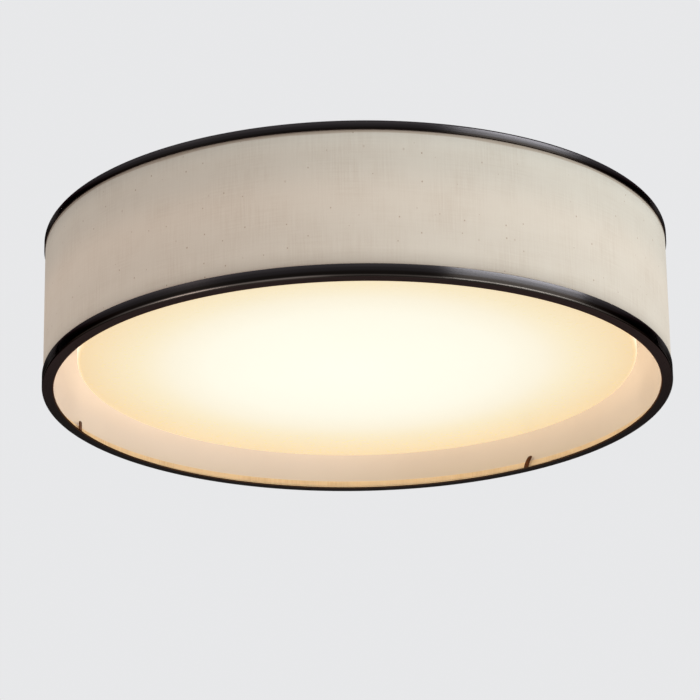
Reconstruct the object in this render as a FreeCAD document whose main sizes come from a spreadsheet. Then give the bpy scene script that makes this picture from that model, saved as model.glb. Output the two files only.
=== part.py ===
import FreeCAD, Part
import math
import os
import Sketcher

# Flush mount drum ceiling light, in millimetres.
# The origin is at the middle of the ceiling face, +Z points up into the ceiling, and the
# light hangs below it. Drops are measured down from the ceiling, rises up from the underside.

doc = FreeCAD.newDocument("DrumCeilingLight")
sheet = doc.addObject("Spreadsheet::Sheet", "dims")

drivingSizes = {
    # the two drawn-steel trim rings, which give the light its outer size
    "overallDiameter": 508,
    "overallHeight": 127,
    "ringSheet": 1.0,
    "ringCorner": 1.2,
    "bottomLegHeight": 10.5,
    "bottomFlangeWidth": 9.5,
    "topLegHeight": 7.4,
    "topFlangeWidth": 4.6,
    "topRingDrop": 0.6,
    # shade: linen on a styrene liner, with a wire ring rolled in tape at each end
    "shadeClearance": 0.1,
    "tapeThickness": 0.4,
    "linenThickness": 0.5,
    "linerThickness": 0.8,
    "wireRadius": 1.3,
    "rollClearance": 0.1,
    "tapeInnerBand": 3.7,
    "bottomTapeOuterBand": 9.0,
    "topTapeOuterBand": 7.5,
    # bent tabs that keep the shade down in the bottom ring
    "tabWidth": 4.4,
    "tabSheet": 1.0,
    "tabHeight": 11.0,
    "tabRadius": 248.2,
    "tabCorner": 0.8,
    # pressed steel ceiling pan
    "panRadius": 246,
    "panDepth": 29,
    "panSheet": 1.0,
    "panLipWidth": 7,
    "panBend": 2.0,
    # opal diffuser and the three catches it turns onto
    "diffuserRadius": 226,
    "diffuserRise": 23,
    "diffuserWall": 3,
    "diffuserEdge": 4,
    "diffuserGap": 0.6,
    "lugInnerRadius": 215.6,
    "lugTopDrop": 31.4,
    "lugBottomDrop": 35.4,
    "lugAngle": 8,
    "catchLegRadius": 213,
    "catchSheet": 1.2,
    "catchFootReach": 7,
    "catchFlangeReach": 11,
    "catchFootDrop": 35.7,
    "catchOpenSide": 12,
    "catchStopSide": 17.5,
    "catchRivetOffset": 6,
    "rivetRadius": 1.6,
    "rivetHeadRadius": 2.8,
    "rivetHeadHeight": 0.8,
    "rivetHeadFlat": 1.7,
    # drop arms welded to the top wire ring, and what fastens them to the pan
    "armFace": 249.3,
    "armSheet": 1.2,
    "armWidth": 18,
    "armTopDrop": 2.4,
    "armToeRadius": 229,
    "armBend": 1.0,
    "armHoleRadius": 2.3,
    "studCircle": 238,
    "studRadius": 2.0,
    "studEndDrop": 42,
    "studHeadRadius": 3.8,
    "studHeadHeight": 1.0,
    "studChamfer": 0.4,
    "washerRadius": 5.0,
    "washerHole": 2.15,
    "washerHeight": 0.8,
    "nutGap": 0.1,
    "nutBore": 2.05,
    "nutCollarRadius": 4.2,
    "nutCollarHeight": 1.8,
    "nutGripRadius": 6.2,
    "nutGripHeight": 6.4,
    "nutGrooveDepth": 0.5,
    "nutGrooveWidth": 0.9,
    "nutGrooveOverrun": 0.2,
    "nutGrooveCount": 30,
    # crossbar that screws to the junction box
    "barLength": 150,
    "barWidth": 20,
    "barSheet": 2.0,
    "barCorner": 4,
    "slotSpacing": 79.4,
    "slotLength": 14.4,
    "slotRadius": 2.3,
    "barStudOffset": 64,
    "barStudEndDrop": 40,
    "panHoleRadius": 2.3,
    "hexAcrossFlats": 7,
    "hexHeight": 3.2,
    "hexFlangeRadius": 5,
    "hexFlangeHeight": 1.2,
    "groundScrewOffset": 22,
    "groundShankRadius": 2.0,
    "groundHeadRadius": 4.2,
    "groundHeadHeight": 2.2,
    "groundHeadBevel": 0.6,
    "groundShankRecess": 0.2,
    "groundSlot": 1.0,
    # light engine
    "boardInnerRadius": 78,
    "boardOuterRadius": 128,
    "boardThickness": 1.6,
    "boardScrewCircle": 95.5,
    "boardScrewRadius": 1.5,
    "boardScrewHead": 2.8,
    "boardScrewHeadHeight": 1.8,
    "boardScrewLength": 4.5,
    "screwHeadFlat": 1.7,
    "screwHeadDome": 0.9,
    "screwTip": 0.8,
    "screwTipRadius": 0.6,
    "recessReach": 1.5,
    "recessWidth": 0.7,
    "recessDepth": 0.9,
    "chipLength": 3.5,
    "chipWidth": 2.8,
    "chipHeight": 0.8,
    "plugRadius": 121.5,
    "plugLength": 10,
    "plugWidth": 9,
    "plugHeight": 5.6,
    "plugCorner": 0.5,
    # driver and terminal block on the pan's ceiling side
    "driverY": 112,
    "driverLength": 130,
    "driverWidth": 44,
    "driverHeight": 20,
    "driverWall": 1.5,
    "driverLid": 1.5,
    "driverCorner": 3,
    "earLength": 9,
    "earWidth": 14,
    "earHeight": 2,
    "driverScrewRadius": 1.5,
    "driverScrewBelow": 1.5,
    "driverBoardGap": 3,
    "driverBoard": 1.6,
    "driverBoardLength": 118,
    "driverBoardWidth": 36,
    "postInset": 5,
    "postRadius": 2.5,
    "coreLength": 18,
    "coreWidth": 22,
    "coreHeight": 10.5,
    "capacitorOffset": 6,
    "blockX": -20,
    "blockY": 50,
    "blockLength": 36,
    "blockWidth": 18,
    "blockHeight": 14,
    "blockPitch": 11,
    "blockEntryRadius": 2.2,
    "blockScrewRadius": 1.8,
    "blockCorner": 1,
    "blockEntryDepth": 6,
    "blockWellDepth": 4,
    "blockWellClearance": 0.4,
    "blockScrewHeight": 2.6,
    "blockSlotWidth": 0.8,
    "blockSlotDepth": 1.0,
    "mainsLeadRadius": 2.2,
    "mainsLoopX": 112,
    "dcLeadRadius": 1.3,
    "leadDrop": 16,
    "leadBendShare": 0.45,
    "grommetX": 100,
    "grommetBore": 3.6,
    "grommetNeck": 5.0,
    "grommetLip": 6.6,
    "grommetLipHeight": 1.4,
}

for row, (alias, value) in enumerate(drivingSizes.items(), start=1):
    sheet.set(f"A{row}", alias)
    sheet.set(f"B{row}", str(value))
    sheet.setAlias(f"B{row}", alias)
doc.recompute()

# Places given as whole lists: degrees round the light, counted from +X towards +Y, a tab's
# place with the lean of its top, a chip ring's radius with its count, and a capacitor's
# place along the driver with its radius and height.
armAngles = (30, 150, 270)
catchAngles = (90, 210, 330)
tabPlaces = ((158.4, 0.6), (54.5, -4.9), (287.0, 0.4))
boardScrewCount = 6
chipRings = ((86, 18), (105, 22), (117, 26))
rollSides = 12
capacitorPlaces = ((-34, 5, 10), (-22, 4, 9), (32, 6, 9.5))

upAxis = FreeCAD.Vector(0, 0, 1)
subParts = []


def size(alias):
    return float(getattr(sheet, alias))


def keep(part, label, angle=0.0):
    """Name a finished sub-part and turn it about the light's axis."""
    part.Label = label
    part.Placement = FreeCAD.Placement(
        FreeCAD.Vector(), FreeCAD.Rotation(upAxis, angle))
    subParts.append(part)
    return part


def planeOf(body, role):
    for feature in body.Origin.OriginFeatures:
        if feature.Role == role:
            return feature
    raise ValueError(role)


def newBody(name):
    return doc.addObject("PartDesign::Body", name)


def newSketch(body, role, name, lift=None):
    """Sketch on one of the body's own origin planes, lifted off it by an expression."""
    sketch = body.newObject("Sketcher::SketchObject", name)
    sketch.AttachmentSupport = [(planeOf(body, role), "")]
    sketch.MapMode = "FlatFace"
    if lift is not None:
        sketch.setExpression(".AttachmentOffset.Base.z", lift)
    return sketch


def bindPoint(sketch, geometry, point, across, along):
    """Hold one point of a sketch at two expressions."""
    for kind, expression in (("DistanceX", across), ("DistanceY", along)):
        value = float(sketch.evalExpression(expression))
        index = sketch.addConstraint(
            Sketcher.Constraint(kind, -1, 1, geometry, point, value))
        sketch.setExpression(f"Constraints[{index}]", expression)


def addPolygon(sketch, corners):
    """Closed outline whose corners are pairs of expressions."""
    places = []
    for across, along in corners:
        places.append(FreeCAD.Vector(
            float(sketch.evalExpression(across)), float(sketch.evalExpression(along)), 0))
    first = sketch.GeometryCount
    count = len(places)
    for index in range(count):
        end = places[(index + 1) % count]
        sketch.addGeometry(Part.LineSegment(places[index], end), False)
    for index in range(count):
        after = first + (index + 1) % count
        sketch.addConstraint(Sketcher.Constraint("Coincident", first + index, 2, after, 1))
    for index, (across, along) in enumerate(corners):
        bindPoint(sketch, first + index, 1, across, along)


def addBox(sketch, left, right, low, high):
    addPolygon(sketch, [(left, low), (right, low), (right, high), (left, high)])


def addCircle(sketch, across, along, radius):
    """Circle held at two expressions, with its radius a third."""
    centre = FreeCAD.Vector(
        float(sketch.evalExpression(across)), float(sketch.evalExpression(along)), 0)
    value = float(sketch.evalExpression(radius))
    index = sketch.addGeometry(Part.Circle(centre, upAxis, value), False)
    bindPoint(sketch, index, 3, across, along)
    constraint = sketch.addConstraint(Sketcher.Constraint("Radius", index, value))
    sketch.setExpression(f"Constraints[{constraint}]", radius)


def revolve(body, sketch, angle=360.0, midplane=False):
    turn = body.newObject("PartDesign::Revolution", "Turned")
    turn.Profile = sketch
    turn.ReferenceAxis = (sketch, ["V_Axis"])
    turn.Angle = angle
    turn.Midplane = midplane
    doc.recompute()
    return turn


def pad(body, sketch, length, midplane=False, reversedWay=False):
    raised = body.newObject("PartDesign::Pad", "Raised")
    raised.Profile = sketch
    raised.setExpression("Length", length)
    raised.Midplane = midplane
    raised.Reversed = reversedWay
    doc.recompute()
    return raised


def pocket(body, sketch, depth=None, reversedWay=False):
    """Cut a sketch out of its body, right through unless a depth is given."""
    before = body.Shape.Volume
    cut = body.newObject("PartDesign::Pocket", "Cut")
    cut.Profile = sketch
    if depth is None:
        cut.Type = "ThroughAll"
        cut.Midplane = True
    else:
        cut.setExpression("Length", depth)
        cut.Reversed = reversedWay
    doc.recompute()
    if not cut.Shape.Volume < before - 1e-3:
        raise RuntimeError(f"{body.Name}: {sketch.Name} cuts nothing")
    return cut


def polar(body, feature, count):
    pattern = body.newObject("PartDesign::PolarPattern", "Around")
    pattern.Originals = [feature]
    pattern.Axis = (feature.Profile[0], ["N_Axis"])
    pattern.Angle = 360
    pattern.Occurrences = count
    body.Tip = pattern
    doc.recompute()
    return pattern


def roundEdges(body, feature, radius, wanted):
    """Fillet each edge whose middle point passes the test."""
    names = []
    for index, edge in enumerate(feature.Shape.Edges, start=1):
        middle = edge.valueAt((edge.FirstParameter + edge.LastParameter) / 2)
        if wanted(edge, middle):
            names.append(f"Edge{index}")
    if not names:
        raise RuntimeError(f"{body.Name}: no edge to round")
    fillet = body.newObject("PartDesign::Fillet", "Rounded")
    fillet.Base = (feature, names)
    fillet.setExpression("Radius", radius)
    doc.recompute()
    return fillet


def ringEdge(radius, height):
    """Test for a full circular edge of one radius at one height."""
    def wanted(edge, middle):
        reach = math.hypot(middle.x, middle.y)
        return abs(reach - radius) < 1e-3 and abs(middle.z - height) < 1e-3
    return wanted


def group(name, shapes):
    """Identical fasteners as one sub-part of separate solids."""
    feature = doc.addObject("Part::Feature", name)
    feature.Shape = Part.makeCompound(shapes)
    return keep(feature, name)


def turned(outline):
    """Solid turned about Z from (radius, height) pairs."""
    points = [FreeCAD.Vector(radius, 0, height) for radius, height in outline]
    face = Part.Face(Part.makePolygon(points + [points[0]]))
    return face.revolve(FreeCAD.Vector(), upAxis, 360)


def placed(shape, x, y, z=0.0, angle=0.0):
    copy = shape.copy()
    copy.Placement = FreeCAD.Placement(
        FreeCAD.Vector(x, y, z), FreeCAD.Rotation(upAxis, angle))
    return copy


def onCircle(radius, angle):
    turn = math.radians(angle)
    return radius * math.cos(turn), radius * math.sin(turn)


# Expressions that several sub-parts share.
outerRadius = "dims.overallDiameter / 2"
underside = "-dims.overallHeight"
ringInside = f"({outerRadius} - dims.ringSheet)"
tapeOutside = f"({ringInside} - dims.shadeClearance)"
linenOutside = f"({tapeOutside} - dims.tapeThickness)"
linerOutside = f"({linenOutside} - dims.linenThickness)"
linerInside = f"({linerOutside} - dims.linerThickness)"
rollRadius = "(dims.wireRadius + dims.tapeThickness)"
rollCircle = f"({tapeOutside} - {rollRadius})"
bottomRollHeight = f"({underside} + dims.ringSheet + dims.rollClearance + {rollRadius})"
topRollHeight = f"(-dims.topRingDrop - dims.ringSheet - dims.rollClearance - {rollRadius})"
panUnderside = "-dims.panDepth"
panFloor = "(-dims.panDepth + dims.panSheet)"


def number(expression):
    return float(sheet.evalExpression(expression))


def makeTrimRing(label, outerEdge, legEnd, flangeSide, flangeWidth):
    """L-section ring: a leg round the outside and a flange that turns inwards."""
    body = newBody(label)
    sketch = newSketch(body, "XZ_Plane", "Section")
    flangeEdge = f"{outerRadius} - {flangeWidth}"
    addPolygon(sketch, [
        (flangeEdge, outerEdge), (outerRadius, outerEdge), (outerRadius, legEnd),
        (ringInside, legEnd), (ringInside, flangeSide), (flangeEdge, flangeSide)])
    section = revolve(body, sketch)
    corner = ringEdge(number(outerRadius), number(outerEdge))
    roundEdges(body, section, "dims.ringCorner", corner)
    keep(body, label)


def makeTrimRings():
    makeTrimRing(
        "bottom_trim_ring", underside, f"{underside} + dims.bottomLegHeight",
        f"{underside} + dims.ringSheet", "dims.bottomFlangeWidth")
    makeTrimRing(
        "top_trim_ring", "-dims.topRingDrop", "-dims.topRingDrop - dims.topLegHeight",
        "-dims.topRingDrop - dims.ringSheet", "dims.topFlangeWidth")


def makeShadeWall(label, inside, outside):
    """Thin cylinder that stands between the two rolled edges."""
    body = newBody(label)
    sketch = newSketch(body, "XZ_Plane", "Section")
    low = f"{bottomRollHeight} + {rollRadius}"
    high = f"{topRollHeight} - {rollRadius}"
    addBox(sketch, inside, outside, low, high)
    revolve(body, sketch)
    keep(body, label)


def makeWireRing(label, height):
    ring = doc.addObject("Part::Torus", label)
    ring.setExpression("Radius1", rollCircle)
    ring.setExpression("Radius2", "dims.wireRadius")
    keep(ring, label)
    ring.setExpression("Placement.Base.z", height)


def makeEdgeTape(label, height, outerBand, way):
    """Tape rolled round the wire ring and glued to both faces of the shade's edge."""
    across = number(rollCircle)
    along = number(height)
    reach = number(rollRadius)
    innerFace = number(linerInside) - across
    outerFace = number(linenOutside) - across
    innerEdge = innerFace - size("tapeThickness")
    innerEnd = reach + size("tapeInnerBand")
    outerEnd = number(outerBand) - reach

    def onRoll(offset):
        return offset, math.sqrt(reach * reach - offset * offset)

    def rollCorners(radius, first, last, steps):
        corners = []
        for step in range(steps + 1):
            turn = math.radians(first + (last - first) * step / steps)
            corners.append((radius * math.cos(turn), radius * math.sin(turn)))
        return corners

    start = math.degrees(math.atan2(*reversed(onRoll(innerEdge))))
    outline = [(innerEdge, innerEnd)] + rollCorners(reach, start, 360, rollSides)
    outline += [(reach, outerEnd), (outerFace, outerEnd), onRoll(outerFace)]
    outline += [onRoll(innerFace), (innerFace, innerEnd)]
    snug = size("wireRadius") / math.cos(math.pi / rollSides)
    hole = rollCorners(snug, 0, 360 * (rollSides - 1) / rollSides, rollSides - 1)
    section = flatFace(outline, across, along, way).cut(flatFace(hole, across, along, way))
    tape = doc.addObject("Part::Feature", label)
    tape.Shape = section.Faces[0].revolve(FreeCAD.Vector(), upAxis, 360)
    keep(tape, label)


def flatFace(outline, across, along, way):
    """Face in the XZ plane from offsets about a point; way -1 turns it upside down."""
    points = [FreeCAD.Vector(across + x, 0, along + way * z) for x, z in outline]
    return Part.Face(Part.makePolygon(points + [points[0]]))


def makeShade():
    makeShadeWall("shade_liner", linerInside, linerOutside)
    makeShadeWall("linen_cover", linerOutside, linenOutside)
    makeWireRing("bottom_wire_ring", bottomRollHeight)
    makeWireRing("top_wire_ring", topRollHeight)
    makeEdgeTape("bottom_edge_tape", bottomRollHeight, "dims.bottomTapeOuterBand", 1)
    makeEdgeTape("top_edge_tape", topRollHeight, "dims.topTapeOuterBand", -1)


def makeRetainingTab(index, angle, lean):
    """Strip that stands up from the bottom ring's flange, bent over along the rim."""
    label = f"retaining_tab_{index}"
    body = newBody(label)
    sketch = newSketch(body, "YZ_Plane", "Front", "dims.tabRadius")
    low = f"{underside} + dims.ringSheet"
    high = f"{low} + dims.tabHeight"
    half = "dims.tabWidth / 2"
    addPolygon(sketch, [
        (f"-{half}", low), (half, low), (f"{half} + {lean}", high), (f"-{half} + {lean}", high)])
    strip = pad(body, sketch, "dims.tabSheet")
    top = number(high)
    roundEdges(body, strip, "dims.tabCorner",
               lambda edge, middle: abs(middle.z - top) < 1e-3
               and abs(edge.Length - size("tabSheet")) < 1e-3)
    keep(body, label, angle)


def makeCeilingPan():
    """Pressed dish with a lip that lies on the ceiling and a floor that carries the rest."""
    body = newBody("ceiling_pan")
    sketch = newSketch(body, "XZ_Plane", "Section")
    wallInside = "dims.panRadius - dims.panSheet"
    lipEdge = "dims.panRadius - dims.panLipWidth"
    addPolygon(sketch, [
        ("0", panUnderside), ("dims.panRadius", panUnderside), ("dims.panRadius", "0"),
        (lipEdge, "0"), (lipEdge, "-dims.panSheet"), (wallInside, "-dims.panSheet"),
        (wallInside, panFloor), ("0", panFloor)])
    dish = revolve(body, sketch)
    corner = ringEdge(size("panRadius"), -size("panDepth"))
    roundEdges(body, dish, "dims.panBend", corner)

    holes = newSketch(body, "XY_Plane", "Holes", panUnderside)
    for side in (-1, 1):
        addCircle(holes, f"{side} * dims.barStudOffset", "0", "dims.panHoleRadius")
    for angle in armAngles:
        addCircle(holes, f"dims.studCircle * cos({angle} deg)",
                  f"dims.studCircle * sin({angle} deg)", "dims.studRadius")
    for index in range(boardScrewCount):
        angle = 360 * index / boardScrewCount
        addCircle(holes, f"dims.boardScrewCircle * cos({angle} deg)",
                  f"dims.boardScrewCircle * sin({angle} deg)", "dims.boardScrewRadius")
    for angle in catchAngles:
        for side in (-1, 1):
            x, y = rivetPlace(angle, side)
            addCircle(holes, f"{x}", f"{y}", "dims.rivetRadius")
    for side in (-1, 1):
        addCircle(holes, f"{side} * {driverScrewX}", "dims.driverY", "dims.driverScrewRadius")
    addCircle(holes, "dims.grommetX", "dims.driverY", "dims.grommetNeck")
    pocket(body, holes)
    keep(body, "ceiling_pan")


driverScrewX = "(dims.driverLength / 2 + dims.earLength / 2)"


def rivetPlace(angle, side):
    """Centre of one of a catch's two rivets, in the frame of the light."""
    reach = size("catchLegRadius") - size("catchFlangeReach") / 2
    turn = math.radians(angle)
    offset = side * size("catchRivetOffset")
    x = reach * math.cos(turn) - offset * math.sin(turn)
    y = reach * math.sin(turn) + offset * math.cos(turn)
    return round(x, 6), round(y, 6)


def makeDropArm(index, angle):
    """Strip that hangs from the top wire ring and turns in under the pan's floor."""
    label = f"drop_arm_{index}"
    body = newBody(label)
    sketch = newSketch(body, "XZ_Plane", "Side")
    inside = "dims.armFace - dims.armSheet"
    footBottom = f"{panUnderside} - dims.armSheet"
    addPolygon(sketch, [
        ("dims.armToeRadius", footBottom), ("dims.armFace", footBottom),
        ("dims.armFace", "-dims.armTopDrop"), (inside, "-dims.armTopDrop"),
        (inside, panUnderside), ("dims.armToeRadius", panUnderside)])
    strip = pad(body, sketch, "dims.armWidth", midplane=True)
    face = size("armFace")
    low = number(footBottom)
    bend = roundEdges(body, strip, "dims.armBend",
                      lambda edge, middle: abs(middle.x - face) < 1e-3
                      and abs(middle.z - low) < 1e-3)
    toe = size("armToeRadius")
    roundEdges(body, bend, "dims.armBend * 4",
               lambda edge, middle: abs(middle.x - toe) < 1e-3
               and abs(edge.Length - size("armSheet")) < 1e-3)
    hole = newSketch(body, "XY_Plane", "StudHole", panUnderside)
    addCircle(hole, "dims.studCircle", "0", "dims.armHoleRadius")
    pocket(body, hole)
    keep(body, label, angle)


def makeShadeStuds():
    """Clinch studs: a flat head on the pan's floor and a shank that points down."""
    floor = number(panFloor)
    shank = size("studRadius")
    head = size("studHeadRadius")
    top = floor + size("studHeadHeight")
    end = -size("studEndDrop")
    chamfer = size("studChamfer")
    stud = turned([(0, end), (shank - chamfer, end), (shank, end + chamfer), (shank, floor),
                   (head, floor), (head, top), (0, top)])
    places = [onCircle(size("studCircle"), angle) for angle in armAngles]
    group("shade_studs", [placed(stud, x, y) for x, y in places])


def makeShadeWashers():
    top = number(panUnderside) - size("armSheet")
    low = top - size("washerHeight")
    hole = size("washerHole")
    edge = size("washerRadius")
    washer = turned([(hole, low), (edge, low), (edge, top), (hole, top)])
    places = [onCircle(size("studCircle"), angle) for angle in armAngles]
    group("shade_washers", [placed(washer, x, y) for x, y in places])


def makeThumbNut(index, angle):
    """Knurled nut: a plain collar towards the arm and a grooved grip below it."""
    label = f"thumb_nut_{index}"
    body = newBody(label)
    top = f"({panUnderside} - dims.armSheet - dims.washerHeight - dims.nutGap)"
    collarEnd = f"({top} - dims.nutCollarHeight)"
    low = f"({collarEnd} - dims.nutGripHeight)"
    section = newSketch(body, "XZ_Plane", "Section")
    addPolygon(section, [
        ("dims.nutBore", low), ("dims.nutGripRadius", low), ("dims.nutGripRadius", collarEnd),
        ("dims.nutCollarRadius", collarEnd), ("dims.nutCollarRadius", top), ("dims.nutBore", top)])
    revolve(body, section)
    groove = newSketch(body, "XY_Plane", "Groove", low)
    halfGroove = "dims.nutGrooveWidth / 2"
    rim = "dims.nutGripRadius + dims.nutGrooveOverrun"
    addPolygon(groove, [
        ("dims.nutGripRadius - dims.nutGrooveDepth", "0"), (rim, f"-{halfGroove}"),
        (rim, halfGroove)])
    cut = pocket(body, groove, "dims.nutGripHeight", reversedWay=True)
    polar(body, cut, int(size("nutGrooveCount")))
    keep(body, label)
    x, y = onCircle(size("studCircle"), angle)
    body.Placement.Base = FreeCAD.Vector(x, y, 0)


def makeDiffuser():
    """Opal dish with straight sides and three lugs inside its rim."""
    body = newBody("diffuser")
    sketch = newSketch(body, "XZ_Plane", "Section")
    face = f"({underside} + dims.diffuserRise)"
    inside = "(dims.diffuserRadius - dims.diffuserWall)"
    rim = f"({panUnderside} - dims.diffuserGap)"
    addPolygon(sketch, [
        ("0", face), ("dims.diffuserRadius", face), ("dims.diffuserRadius", rim),
        (inside, rim), (inside, f"{face} + dims.diffuserWall"),
        ("0", f"{face} + dims.diffuserWall")])
    dish = revolve(body, sketch)
    outside = ringEdge(size("diffuserRadius"), number(face))
    rounded = roundEdges(body, dish, "dims.diffuserEdge", outside)
    corner = ringEdge(number(inside), number(f"{face} + dims.diffuserWall"))
    roundEdges(body, rounded, "dims.diffuserEdge - dims.diffuserWall / 2", corner)
    for angle in catchAngles:
        lug = newSketch(body, "XZ_Plane", "Lug")
        lug.AttachmentOffset = FreeCAD.Placement(
            FreeCAD.Vector(), FreeCAD.Rotation(FreeCAD.Vector(0, 1, 0), angle))
        addBox(lug, "dims.lugInnerRadius", f"{inside} + dims.diffuserWall / 2",
               "-dims.lugBottomDrop", "-dims.lugTopDrop")
        revolve(body, lug, size("lugAngle"), midplane=True)
    keep(body, "diffuser")


def makeDiffuserCatch(index, angle):
    """Bent strip under the pan: a riveted flange, a leg, a foot and an end stop."""
    label = f"diffuser_catch_{index}"
    body = newBody(label)
    sketch = newSketch(body, "XZ_Plane", "Side", "-dims.catchStopSide")
    legOutside = "(dims.catchLegRadius + dims.catchSheet)"
    flangeEdge = "(dims.catchLegRadius - dims.catchFlangeReach)"
    footEdge = "(dims.catchLegRadius + dims.catchFootReach)"
    footTop = "-dims.catchFootDrop"
    footBottom = "(-dims.catchFootDrop - dims.catchSheet)"
    flangeBottom = f"({panUnderside} - dims.catchSheet)"
    addPolygon(sketch, [
        (flangeEdge, panUnderside), (flangeEdge, flangeBottom),
        ("dims.catchLegRadius", flangeBottom), ("dims.catchLegRadius", footBottom),
        (footEdge, footBottom), (footEdge, footTop), (legOutside, footTop),
        (legOutside, panUnderside)])
    pad(body, sketch, "dims.catchStopSide + dims.catchOpenSide")
    stop = newSketch(body, "XZ_Plane", "Stop", "-dims.catchStopSide")
    addBox(stop, legOutside, footEdge, footTop, "-dims.lugTopDrop")
    pad(body, stop, "dims.catchSheet")
    rivets = newSketch(body, "XY_Plane", "Rivets", panUnderside)
    for side in (-1, 1):
        addCircle(rivets, "dims.catchLegRadius - dims.catchFlangeReach / 2",
                  f"{side} * dims.catchRivetOffset", "dims.rivetRadius")
    pocket(body, rivets)
    keep(body, label, angle)


def makeCatchRivets():
    """Domed rivets through the pan's floor and each catch's flange."""
    head = size("rivetHeadRadius")
    flat = size("rivetHeadFlat")
    rise = size("rivetHeadHeight")
    shank = size("rivetRadius")
    top = number(panFloor)
    low = number(panUnderside) - size("catchSheet")
    rivet = turned([
        (0, low - rise), (flat, low - rise), (head, low), (shank, low), (shank, top),
        (head, top), (flat, top + rise), (0, top + rise)])
    rivets = []
    for angle in catchAngles:
        for side in (-1, 1):
            x, y = rivetPlace(angle, side)
            rivets.append(placed(rivet, x, y))
    group("catch_rivets", rivets)


def makeCrossbar():
    """Flat bar with a slot for each box screw and holes for its two studs."""
    body = newBody("crossbar")
    outline = newSketch(body, "XY_Plane", "Outline")
    addBox(outline, "-dims.barLength / 2", "dims.barLength / 2",
           "-dims.barWidth / 2", "dims.barWidth / 2")
    bar = pad(body, outline, "dims.barSheet", reversedWay=True)
    roundEdges(body, bar, "dims.barCorner",
               lambda edge, middle: abs(edge.Length - size("barSheet")) < 1e-3)
    holes = newSketch(body, "XY_Plane", "Holes")
    for side in (-1, 1):
        addCircle(holes, f"{side} * dims.barStudOffset", "0", "dims.studRadius")
    addCircle(holes, "dims.groundScrewOffset", "0", "dims.groundShankRadius")
    pocket(body, holes)
    slots = newSketch(body, "XY_Plane", "Slots")
    for side in (-1, 1):
        addSlot(slots, side)
    pocket(body, slots)
    keep(body, "crossbar")


def addSlot(sketch, side):
    """Round-ended slot along the bar, held by its two end centres."""
    half = "(dims.slotLength / 2 - dims.slotRadius)"
    near = f"{side} * dims.slotSpacing / 2 - {half}"
    far = f"{side} * dims.slotSpacing / 2 + {half}"
    left = float(sketch.evalExpression(near))
    right = float(sketch.evalExpression(far))
    reach = size("slotRadius")
    quarter = math.pi / 2
    circles = (Part.Circle(FreeCAD.Vector(left, 0, 0), upAxis, reach),
               Part.Circle(FreeCAD.Vector(right, 0, 0), upAxis, reach))
    leftArc = sketch.addGeometry(Part.ArcOfCircle(circles[0], quarter, 3 * quarter), False)
    rightArc = sketch.addGeometry(Part.ArcOfCircle(circles[1], -quarter, quarter), False)
    top = sketch.addGeometry(Part.LineSegment(
        FreeCAD.Vector(left, reach, 0), FreeCAD.Vector(right, reach, 0)), False)
    low = sketch.addGeometry(Part.LineSegment(
        FreeCAD.Vector(left, -reach, 0), FreeCAD.Vector(right, -reach, 0)), False)
    joins = ((leftArc, 1, top, 1), (leftArc, 2, low, 1), (rightArc, 2, top, 2), (rightArc, 1, low, 2))
    for join in joins:
        sketch.addConstraint(Sketcher.Constraint("Tangent", *join))
    bindPoint(sketch, leftArc, 3, near, "0")
    bindPoint(sketch, rightArc, 3, far, "0")
    index = sketch.addConstraint(Sketcher.Constraint("Radius", leftArc, reach))
    sketch.setExpression(f"Constraints[{index}]", "dims.slotRadius")


def makeBarFasteners():
    """Studs that hang from the crossbar, the flanged nuts on them and the ground screw."""
    shank = size("studRadius")
    end = -size("barStudEndDrop")
    chamfer = size("studChamfer")
    stud = turned([(0, end), (shank - chamfer, end), (shank, end + chamfer), (shank, 0), (0, 0)])
    offset = size("barStudOffset")
    group("crossbar_studs", [placed(stud, side * offset, 0) for side in (-1, 1)])

    top = number(panUnderside)
    flangeEnd = top - size("hexFlangeHeight")
    low = flangeEnd - size("hexHeight")
    corner = size("hexAcrossFlats") / math.sqrt(3)
    corners = [FreeCAD.Vector(*onCircle(corner, 60 * step), low) for step in range(7)]
    hexagon = Part.Face(Part.makePolygon(corners)).extrude(FreeCAD.Vector(0, 0, flangeEnd - low))
    flange = Part.makeCylinder(
        size("hexFlangeRadius"), top - flangeEnd, FreeCAD.Vector(0, 0, flangeEnd))
    bore = Part.makeCylinder(size("nutBore"), top - low, FreeCAD.Vector(0, 0, low))
    nut = hexagon.fuse(flange).removeSplitter().cut(bore)
    group("pan_nuts", [placed(nut, side * offset, 0) for side in (-1, 1)])

    shank = size("groundShankRadius")
    head = size("groundHeadRadius")
    under = -size("barSheet")
    low = under - size("groundHeadHeight")
    bevel = size("groundHeadBevel")
    end = -size("groundShankRecess")
    screw = turned([
        (0, low), (head - bevel, low), (head, low + bevel), (head, under), (shank, under),
        (shank, end), (0, end)])
    width = size("groundSlot")
    slot = Part.makeBox(2 * head, width, width, FreeCAD.Vector(-head, -width / 2, low))
    group("ground_screw", [placed(screw.cut(slot), size("groundScrewOffset"), 0)])


def makeLedBoard():
    """Ring-shaped aluminium board that screws flat to the pan."""
    body = newBody("led_board")
    sketch = newSketch(body, "XZ_Plane", "Section")
    low = f"{panUnderside} - dims.boardThickness"
    addBox(sketch, "dims.boardInnerRadius", "dims.boardOuterRadius", low, panUnderside)
    revolve(body, sketch)
    holes = newSketch(body, "XY_Plane", "ScrewHoles", panUnderside)
    for index in range(boardScrewCount):
        angle = 360 * index / boardScrewCount
        addCircle(holes, f"dims.boardScrewCircle * cos({angle} deg)",
                  f"dims.boardScrewCircle * sin({angle} deg)", "dims.boardScrewRadius")
    pocket(body, holes)
    keep(body, "led_board")


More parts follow.
